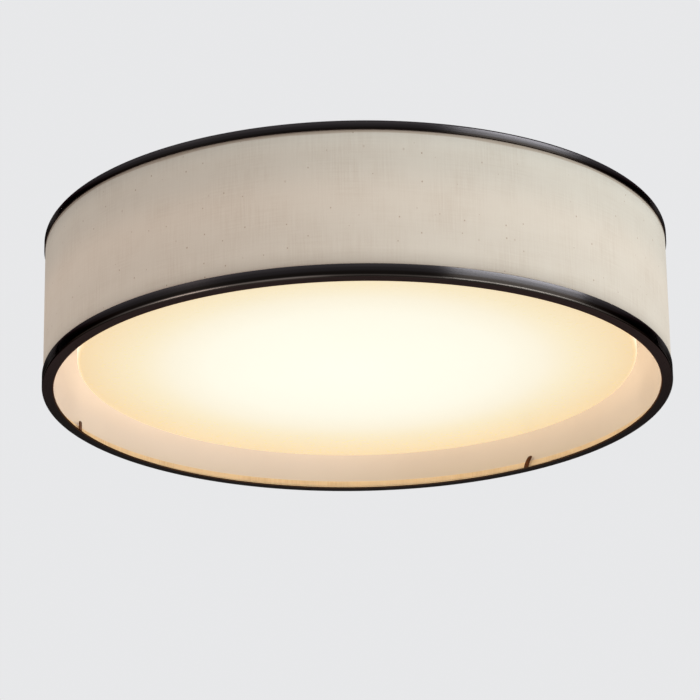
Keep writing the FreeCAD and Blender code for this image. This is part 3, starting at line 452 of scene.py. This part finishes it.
def wrappedStrip(s, radius):
    # a strip that goes once round and laps over its own start; its UV map is its flat size in metres
    mesh = bmesh.new()
    heights = [s["low"] + (s["high"] - s["low"]) * row / s["rows"] for row in range(s["rows"] + 1)]
    column = drawnLine(mesh, [(radius, height) for height in heights], math.radians(s["seamAngle"]))
    angle = math.tau + math.radians(s["lap"])
    steps = s["steps"] + s["lapSteps"]
    turnedRound(mesh, column, steps, angle)
    mesh.verts.index_update()
    flat = mesh.loops.layers.uv.new("cloth")
    for face in mesh.faces:
        for loop in face.loops:
            step = loop.vert.index // len(heights)
            loop[flat].uv = (step / steps * angle * radius, loop.vert.co.z)
    for vert in mesh.verts:
        step = vert.index // len(heights)
        over = min(max((step - s["steps"] + s["riseSteps"]) / s["riseSteps"], 0), 1)
        grown = 1 + over * s["lapRise"] / radius
        vert.co.x, vert.co.y = vert.co.x * grown, vert.co.y * grown
    return mesh


def threadTone(f, w):
    upright, level = (f.noise(f.place(uv=True, scale=w[way]), 1, 2) for way in ("upright", "level"))
    return f.span(f.plus(f.times(upright, w["uprightShare"]), f.times(level, w["levelShare"])), 0.32, 0.68)


def flecked(f, w, colour):
    for fleck in w["flecks"]:
        size = fleck["scale"]
        cloth = f.place(uv=True, scale=(1, w["fleckHeight"], 1), move=(0, size, 0))
        near, chosen = f.spots(cloth, size, True)
        radius = f.span(chosen, fleck["above"], 1.0, *fleck["radius"])
        keep = f.math("GREATER_THAN", chosen, fleck["above"])
        mark = f.span(f.math("SUBTRACT", radius, near), 0.0, w["fleckEdge"], 0, fleck["depth"])
        colour = f.mix(f.times(mark, keep), colour, w["fleckColour"])
    return colour


def clothFinish(name, s, w, glow, marksAndShadow=()):
    f = Finish(name)
    cloth = f.place(uv=True)
    wander = f.times(f.noise(cloth, w["wanderScale"], 2), w["wander"])
    pitch = s["threadPitch"]
    threads = f.node("SeparateXYZ", {"Vector": f.place(uv=True, scale=(1 / pitch, 1 / pitch, 1))})
    # warp and weft, each thread wandering a little
    warp, weft = (f.math("SINE", f.times(f.plus(threads.outputs[way], wander), math.pi)) for way in "XY")
    ridges = f.math("MAXIMUM", f.math("ABSOLUTE", warp), f.math("ABSOLUTE", weft))
    slub = f.noise(f.place(uv=True, scale=w["slub"]), 1, 1)
    colour = f.mix(threadTone(f, w), s["dark"], s["light"])
    colour = f.mix(f.span(f.noise(cloth, 22), 0.38, 0.62, 0, 0.75), colour, s["light"])
    # seed flecks, and on the linen a painted shadow under the top ring
    for painter, settings in marksAndShadow:
        colour = painter(f, settings, colour)
    f.set(Base_Color=colour, Roughness=0.92, Specular_IOR_Level=0.15,
          Sheen_Weight=0.05, Sheen_Roughness=0.5)
    f.bump(f.plus(ridges, f.times(slub, 1.2)), w["depth"], 0.5)
    glow(f, s, colour)
    return f.material


def paintedRingShadow(f, s, colour):
    # painted shadow of the top ring: a taupe band under the top tape, wider in some places
    place = f.polar(f.place())
    wander = f.noise(f.node("CombineXYZ", {0: place["turn"]}).outputs[0], 2.2, 2)
    depth = f.span(wander, 0.35, 0.65, *s["shadowDepth"])
    below = f.math("SUBTRACT", s["shadowTop"], place["height"])
    shadowed = f.span(f.math("DIVIDE", below, depth), 0.4, 1.3, 0.6, 0, True)
    return f.mix(shadowed, colour, s["shadowColour"])


def linenGlow(f, s, colour):
    # light from inside that comes through the cloth, strongest half way down
    strength = f.ramp(f.span(f.axis("Z"), s["low"], s["high"]), s["glowUp"], "EASE")
    f.set(Emission_Color=f.mix(0.45, s["glowColour"], colour),
          Emission_Strength=f.times(strength, s["glow"]))


def makeLinenCover(s, w):
    piece = finishedMesh(wrappedStrip(s, s["inside"] + s["thickness"]), "linenCover")
    thicken(piece, s["thickness"])
    finish = clothFinish("naturalLinen", s, w, linenGlow, [(flecked, w), (paintedRingShadow, s)])
    fit(piece, "fixture", finish, ["linen_cover"])


makeLinenCover(linenSet, weaveSet)


# liner: glossy white sheet that stiffens the linen

linerSet = {
    "inside": 0.2512, "thickness": 0.0008, "low": -0.1225, "high": -0.0051, "steps": 512,
    "dark": shade(236, 230, 220), "light": shade(243, 238, 229),
    # warmer towards +X, where less of the room's light comes in under the rim
    "sides": (-0.1, 0.16), "glow": (0.10, 0.065),
    "glowColours": (shade(252, 216, 218), shade(255, 178, 132)),
}


def linerFinish(s):
    f = Finish("whiteStyrene")
    spot = f.place()
    side = f.span(f.axis("X"), *s["sides"], 0, 1, True)
    f.set(Base_Color=f.mottled(f.noise(spot, 7), s["dark"], s["light"]),
          Roughness=f.spread(f.noise(spot, 260, 2), 0.14, 0.2), Specular_IOR_Level=0.5, Coat_Weight=0.3,
          Coat_Roughness=0.08, Emission_Color=f.mix(side, *s["glowColours"]),
          Emission_Strength=f.span(side, 0, 1, *s["glow"]))
    f.bump(f.noise(spot, 30, 2), 0.00025, 0.25)
    return f.material


def makeLiner(s):
    inside, outside = s["inside"], s["inside"] + s["thickness"]
    outline = [(inside, s["low"]), (outside, s["low"]), (outside, s["high"]), (inside, s["high"])]
    liner = spunRing("shadeLiner", outline, s["steps"])
    fit(liner, "fixture", linerFinish(s), ["shade_liner"])
    print("liner made")


makeLiner(linerSet)


# edge tapes: linen turned over each wire ring and glued to both faces of the wall

tapeSet = {
    "outside": 0.2529, "thickness": 0.0004, "innerFace": 0.2512, "steps": 360,
    # how far the tape winds round the wire ring, and where it comes back to the wall
    "roll": 0.0017, "rollTurn": 192, "rollSteps": 14, "rollLeave": 0.0012,
    "bottom": {"rollHeight": -0.1242, "innerEnd": -0.1188, "outerEnd": -0.1169},
    "top": {"rollHeight": -0.0034, "innerEnd": -0.0088, "outerEnd": -0.0092},
    "threadPitch": 0.00055, "light": shade(238, 218, 188), "dark": shade(220, 194, 158),
    "glowHeights": (-0.11, -0.118), "glow": (0.13, 0.235), "glowPatch": (60, 200, 1),
    "glowColour": shade(255, 205, 140),
}


def tapeLine(s, part, way):
    # from the outer end, round the roll, to the inner end; the sheet's outside face
    centre = (s["outside"] - s["roll"], part["rollHeight"])
    turns = arcCorner(centre, s["roll"], 0, -way * s["rollTurn"], s["rollSteps"])
    inner = s["innerFace"] - s["thickness"]
    return [(s["outside"], part["outerEnd"]), *turns,
            (inner, part["rollHeight"] + way * s["rollLeave"]), (inner, part["innerEnd"])]


def makeEdgeTape(s, name, part, way):
    line = tapeLine(s, part, way)
    lengths = [0.0]
    for first, second in zip(line, line[1:]):
        lengths.append(lengths[-1] + math.dist(first, second))
    mesh = bmesh.new()
    turnedRound(mesh, drawnLine(mesh, line), s["steps"])
    mesh.verts.index_update()
    flat = mesh.loops.layers.uv.new("cloth")
    for face in mesh.faces:
        for loop in face.loops:
            step, row = divmod(loop.vert.index, len(line))
            loop[flat].uv = (step / s["steps"] * math.tau * s["innerFace"], lengths[row])
    bmesh.ops.remove_doubles(mesh, verts=mesh.verts, dist=1e-6)
    bmesh.ops.recalc_face_normals(mesh, faces=mesh.faces)
    return finishedMesh(mesh, name), lengths[-1]


def tapeGlow(f, s, colour):
    # light that comes through the bottom tape, and less of it through the top one
    patch = f.noise(f.place(uv=True, scale=s["glowPatch"]), 1)
    lit = f.span(f.axis("Z"), *s["glowHeights"], 0.4, 1.0)
    f.set(Emission_Color=f.mix(0.3, s["glowColour"], colour),
          Emission_Strength=f.times(lit, f.spread(patch, *s["glow"])))


def makeEdgeTapes(s, w):
    finish = clothFinish("edgeTapeLinen", s, w, tapeGlow)
    for part, way in (("bottom", 1), ("top", -1)):
        tape, width = makeEdgeTape(s, part + "EdgeTape", s[part], way)
        thicken(tape, s["thickness"])
        fit(tape, "fixture", finish, [part + "_edge_tape"])
    print("edge tapes made")


makeEdgeTapes(tapeSet, weaveSet)


# diffuser: opal acrylic dish, lit from above, with three lugs inside its rim

diffuserSet = {
    "radius": 0.226, "wall": 0.003, "face": -0.104, "rim": -0.0296, "edge": 0.004,
    "steps": 360, "outerSteps": 8, "innerSteps": 6,
    "lugInside": 0.2156, "lugTop": -0.0314, "lugLow": -0.0354, "lugAngle": 8.0,
    "lugPlaces": (90, 210, 330), "lugSteps": 10,
    "dark": shade(226, 219, 206), "light": shade(232, 226, 214), "unevenness": 0.03,
    # light of the face from its middle out
    "faceColours": [
        (0.0, (1.0, 1.0, 0.85)), (0.41, (1.0, 0.994, 0.845)), (0.55, (1.0, 0.98, 0.82)),
        (0.68, (1.0, 0.924, 0.72)), (0.81, (1.0, 0.835, 0.505)), (0.945, (1.0, 0.733, 0.355)),
        (1.0, (1.0, 0.69, 0.30))],
    "faceLevels": levels((0.0, 0.70), (0.55, 0.655), (0.81, 0.61), (1.0, 0.58)),
    # the side wall is nearer to the board and whiter than the rim of the face
    "wallColour": (1.0, 0.83, 0.64), "wallLevel": (0.66,) * 3,
}


def diffuserFinish(s):
    f = Finish("opalAcrylic")
    spot = f.place()
    place = f.polar(spot)
    cloud = f.noise(spot, 5)
    away = f.plus(f.math("DIVIDE", place["reach"], s["radius"]), f.times(cloud, s["unevenness"]))
    wall = f.span(place["height"], s["face"], s["face"] + s["edge"], 0, 1, True)
    f.set(Base_Color=f.mottled(cloud, s["dark"], s["light"]),
          Roughness=f.spread(f.noise(spot, 320, 2), 0.26, 0.34), Specular_IOR_Level=0.45,
          Emission_Color=f.mix(wall, f.ramp(away, s["faceColours"]), s["wallColour"]),
          Emission_Strength=f.mix(wall, f.ramp(away, s["faceLevels"]), s["wallLevel"]))
    f.bump(f.noise(spot, 1100, 2), 0.00002, 0.3)
    return f.material


def addLug(mesh, s, place):
    inner, outer = s["lugInside"], s["radius"] - s["wall"] / 2
    half = math.radians(s["lugAngle"]) / 2
    side = cornersAt(mesh, ((inner, s["lugLow"]), (outer, s["lugLow"]),
                            (outer, s["lugTop"]), (inner, s["lugTop"])), math.radians(place) - half)
    turnedRound(mesh, [mesh.faces.new(side)], s["lugSteps"], 2 * half)


def makeDiffuser(s):
    outer, inner, face, edge = s["radius"], s["radius"] - s["wall"], s["face"], s["edge"]
    floor, corner = face + s["wall"], edge - s["wall"] / 2
    outline = [(0, floor), (0, face)]
    outline += arcCorner((outer - edge, face + edge), edge, -90, 0, s["outerSteps"])
    outline += [(outer, s["rim"]), (inner, s["rim"])]
    outline += arcCorner((inner - corner, floor + corner), corner, 0, -90, s["innerSteps"])
    mesh = bmesh.new()
    turnedRound(mesh, drawnLine(mesh, outline, closed=True), s["steps"], merge=True)
    bmesh.ops.remove_doubles(mesh, verts=mesh.verts, dist=1e-6)
    bmesh.ops.dissolve_degenerate(mesh, dist=1e-7, edges=mesh.edges)
    for place in s["lugPlaces"]:
        addLug(mesh, s, place)
    bmesh.ops.recalc_face_normals(mesh, faces=mesh.faces)
    piece = finishedMesh(mesh, "opalDiffuser")
    fit(piece, "diffuser", diffuserFinish(s), ["diffuser"])
    print("diffuser made")


makeDiffuser(diffuserSet)


# finishes of the parts that keep their own shape

def enamelFinish():
    f = Finish("whiteEnamel")
    spot = f.place()
    peel = f.noise(spot, 420, 2)
    f.set(Base_Color=f.mottled(f.noise(spot, 6), shade(218, 218, 214), shade(228, 228, 224)),
          Roughness=f.spread(peel, 0.4, 0.52), Specular_IOR_Level=0.3)
    f.bump(peel, 0.00006, 0.35)
    return f.material


def platedFinish(name, light, dark, low, high, scale=60):
    f = Finish(name)
    spot = f.place()
    flake = f.spots(spot, scale * 9)[1]
    tone = f.plus(f.times(f.noise(spot, scale, 5, 0.6), 0.7), f.times(flake, 0.3))
    f.set(Base_Color=f.mottled(tone, dark, light), Metallic=1.0, Roughness=f.spread(tone, low, high))
    f.bump(f.noise(spot, 1600, 2), 0.00002, 0.5)
    return f.material


def plasticFinish(name, light, dark, low=0.35, high=0.5):
    f = Finish(name)
    spot = f.place()
    grain = f.noise(spot, 900, 2)
    f.set(Base_Color=f.mottled(f.noise(spot, 30), dark, light), Roughness=f.spread(grain, low, high))
    f.bump(grain, 0.00004, 0.5)
    return f.material


def numbered(name):
    return [f"{name}_{place}" for place in (1, 2, 3)]


def dressCarried(zinc):
    finishes = (
        (["ceiling_pan", *numbered("drop_arm")], enamelFinish()),
        ([*numbered("diffuser_catch"), "crossbar", "shade_washers", "catch_rivets", "board_screws",
          "driver_screws", "terminal_screws", "pan_nuts"], zinc),
        (numbered("thumb_nut"),
         platedFinish("brightNickel", shade(214, 208, 196), shade(184, 178, 168), 0.16, 0.3, 90)),
        (["ground_screw"],
         platedFinish("greenScrew", shade(60, 128, 84), shade(36, 92, 58), 0.3, 0.45, 200)),
        (["top_wire_ring", "bottom_wire_ring"],
         platedFinish("drawnWire", shade(176, 176, 174), shade(132, 132, 130), 0.28, 0.42, 120)),
        (["led_board"], plasticFinish("whiteBoard", shade(238, 238, 232), shade(228, 228, 222))),
        (["led_chips"], plasticFinish("yellowPhosphor", shade(240, 206, 96), shade(228, 188, 70))),
        (["board_plug"], plasticFinish("whiteNylon", shade(232, 230, 220), shade(220, 217, 206))),
        (["driver_case", "driver_lid"],
         plasticFinish("driverAluminium", shade(206, 206, 204), shade(190, 190, 188), 0.3, 0.42)),
        (["driver_board", "driver_board_posts"],
         plasticFinish("circuitBoard", shade(44, 96, 60), shade(30, 76, 46))),
        (["driver_transformer", "driver_capacitors"],
         plasticFinish("ferrite", shade(44, 44, 46), shade(30, 30, 32))),
        (["terminal_block"], plasticFinish("blockNylon", shade(222, 220, 212), shade(206, 203, 194))),
        (["mains_lead", "dc_lead"],
         plasticFinish("leadJacket", shade(232, 230, 226), shade(214, 212, 208))),
        (["lead_grommet"],
         plasticFinish("blackRubber", shade(36, 36, 37), shade(24, 24, 25), 0.55, 0.7)),
    )
    for names, material in finishes:
        for name in names:
            data = nodes[name].data
            data.materials.clear()
            data.materials.append(material)
    print("carried parts finished")


zincSteel = platedFinish("zincSteel", shade(196, 198, 202), shade(150, 152, 156), 0.3, 0.5)
dressCarried(zincSteel)


# threaded studs: a core, with a head on the shade's ones, and a ridge that winds down it

studSet = {
    "major": 0.002, "minor": 0.00158, "sunk": 0.00004, "crest": 0.00006, "root": 0.0003,
    "pitch": 0.0007, "turnSteps": 16, "coreSteps": 32, "tip": 0.0003,
    "shade": {"reach": 0.238, "turns": (30, 150, 270), "top": -0.028, "threadTop": -0.0292,
              "end": -0.042, "headRadius": 0.0038, "headHeight": 0.001, "headEdge": 0.0002},
    "crossbar": {"reach": 0.064, "turns": (0, 180), "top": 0.0, "threadTop": -0.0024,
                 "end": -0.04, "headRadius": None},
}


def studOutline(s, part):
    minor, end, top = s["minor"], part["end"], part["top"]
    outline = [(0, end), (minor - s["tip"], end), (minor, end + s["tip"]), (minor, part["threadTop"]),
               (s["major"], part["threadTop"]), (s["major"], top)]
    if part["headRadius"]:
        radius, height, edge = part["headRadius"], part["headHeight"], part["headEdge"]
        outline += [(radius - edge, top), (radius, top + edge), (radius, top + height - edge),
                    (radius - edge, top + height), (0, top + height)]
    else:
        outline.append((0, top))
    return outline


def addThread(mesh, s, part):
    inner = s["minor"] - s["sunk"]
    start = part["threadTop"] - s["root"]
    steps = int((start - part["end"] - s["tip"] - s["root"]) / s["pitch"] * s["turnSteps"])
    section = cornersAt(mesh, ((inner, start + s["root"]), (s["major"], start + s["crest"]),
                               (s["major"], start - s["crest"]), (inner, start - s["root"])))
    turnedRound(mesh, [mesh.faces.new(section)], steps, math.tau * steps / s["turnSteps"],
                s["pitch"] / s["turnSteps"])


def studMesh(s, part):
    # one stud at the first of its places, then turned copies of it at the others
    mesh = bmesh.new()
    turnedRound(mesh, drawnLine(mesh, studOutline(s, part)), s["coreSteps"], merge=True)
    addThread(mesh, s, part)
    bmesh.ops.remove_doubles(mesh, verts=mesh.verts, dist=1e-7)
    bmesh.ops.recalc_face_normals(mesh, faces=mesh.faces)
    bmesh.ops.translate(mesh, verts=mesh.verts, vec=(part["reach"], 0, 0))
    first = part["turns"][0]
    turnedBy(mesh, mesh.verts, first)
    whole = mesh.verts[:] + mesh.edges[:] + mesh.faces[:]
    for angle in part["turns"][1:]:
        made = bmesh.ops.duplicate(mesh, geom=whole)["geom"]
        turnedBy(mesh, [item for item in made if isinstance(item, bmesh.types.BMVert)], angle - first)
    return mesh


def makeStuds(s, finish):
    for name in ("shade", "crossbar"):
        piece = finishedMesh(studMesh(s, s[name]), name + "Studs", smooth=30)
        fit(piece, "fixture", finish, [name + "_studs"])
    print("threaded studs made")


makeStuds(studSet, zincSteel)


# floor, light and backdrop

stageSet = {
    "floorHeight": -2.6, "floorSize": 14.0, "floorColour": shade(226, 225, 222), "floorWear": 0.97,
    # colour and strength of the room's soft light, and of the backdrop that is seen and reflected
    "soft": ((1.0, 0.99, 0.97), 0.44), "backdrop": ((0.98, 0.985, 1.0), 0.82),
    "aim": (0, 0, -0.06),
    "lamps": {
        "keyLight": {"place": (2.87, -1.70, 1.27), "size": (3.5, 0.5), "power": 61.0,
                     "colour": (0.88, 0.985, 1.0)},
        "sideLight": {"place": (3.1, -1.13, -0.25), "size": (1.4, 1.0), "power": 5.0,
                      "colour": (0.88, 0.985, 1.0)},
        "fillLight": {"place": (-2.88, -1.8, 0.42), "size": (1.6, 1.2), "power": 12.0,
                      "colour": (1.0, 0.92, 0.86)},
    },
}


def floorFinish(s):
    # seen from above only, so that a view from below isn't blocked
    f = Finish("paleFloor")
    worn = tuple(value * s["floorWear"] for value in s["floorColour"])
    f.set(Base_Color=f.mottled(f.noise(f.place(), 0.7, 2), worn, s["floorColour"]), Roughness=0.8)
    clear = f.node("BsdfTransparent").outputs[0]
    behind = f.node("NewGeometry").outputs["Backfacing"]
    mixed = f.node("MixShader", {0: behind, 1: f.shader.outputs[0], 2: clear})
    f.tree.links.new(mixed.outputs[0], f.output.inputs["Surface"])
    return f.material


def addFloor(s):
    mesh = bmesh.new()
    bmesh.ops.create_grid(mesh, x_segments=1, y_segments=1, size=s["floorSize"])
    bmesh.ops.translate(mesh, verts=mesh.verts, vec=(0, 0, s["floorHeight"]))
    data = bpy.data.meshes.new("paleFloor")
    mesh.to_mesh(data)
    mesh.free()
    floor = bpy.data.objects.new("paleFloor", data)
    bpy.context.scene.collection.objects.link(floor)
    data.materials.append(floorFinish(s))


def addBackdrop(s):
    world = bpy.data.worlds.new("paleRoom")
    bpy.context.scene.world = world
    world.use_nodes = True
    tree = world.node_tree
    tree.nodes.clear()
    rays = tree.nodes.new("ShaderNodeLightPath")
    seen = rays.outputs["Is Camera Ray"]
    for kind in ("Is Transmission Ray", "Is Glossy Ray"):
        more = tree.nodes.new("ShaderNodeMath")
        more.operation, more.use_clamp = "ADD", True
        tree.links.new(seen, more.inputs[0])
        tree.links.new(rays.outputs[kind], more.inputs[1])
        seen = more.outputs[0]
    mixed = tree.nodes.new("ShaderNodeMixShader")
    tree.links.new(seen, mixed.inputs[0])
    for place, (colour, strength) in enumerate((s["soft"], s["backdrop"]), start=1):
        background = tree.nodes.new("ShaderNodeBackground")
        background.inputs["Color"].default_value = (*colour, 1)
        background.inputs["Strength"].default_value = strength
        tree.links.new(background.outputs[0], mixed.inputs[place])
    output = tree.nodes.new("ShaderNodeOutputWorld")
    tree.links.new(mixed.outputs[0], output.inputs["Surface"])


def addLamp(name, lamp, aim):
    data = bpy.data.lights.new(name, "AREA")
    data.shape, (data.size, data.size_y) = "ELLIPSE", lamp["size"]
    data.energy, data.color = lamp["power"], lamp["colour"]
    light = bpy.data.objects.new(name, data)
    bpy.context.scene.collection.objects.link(light)
    light.location = lamp["place"]
    light.rotation_euler = (Vector(aim) - light.location).to_track_quat("-Z", "Y").to_euler()


addFloor(stageSet)
addBackdrop(stageSet)
for lampName, lampSet in stageSet["lamps"].items():
    addLamp(lampName, lampSet, stageSet["aim"])
bpy.context.scene.view_settings.view_transform = "Standard"
print("stage set")
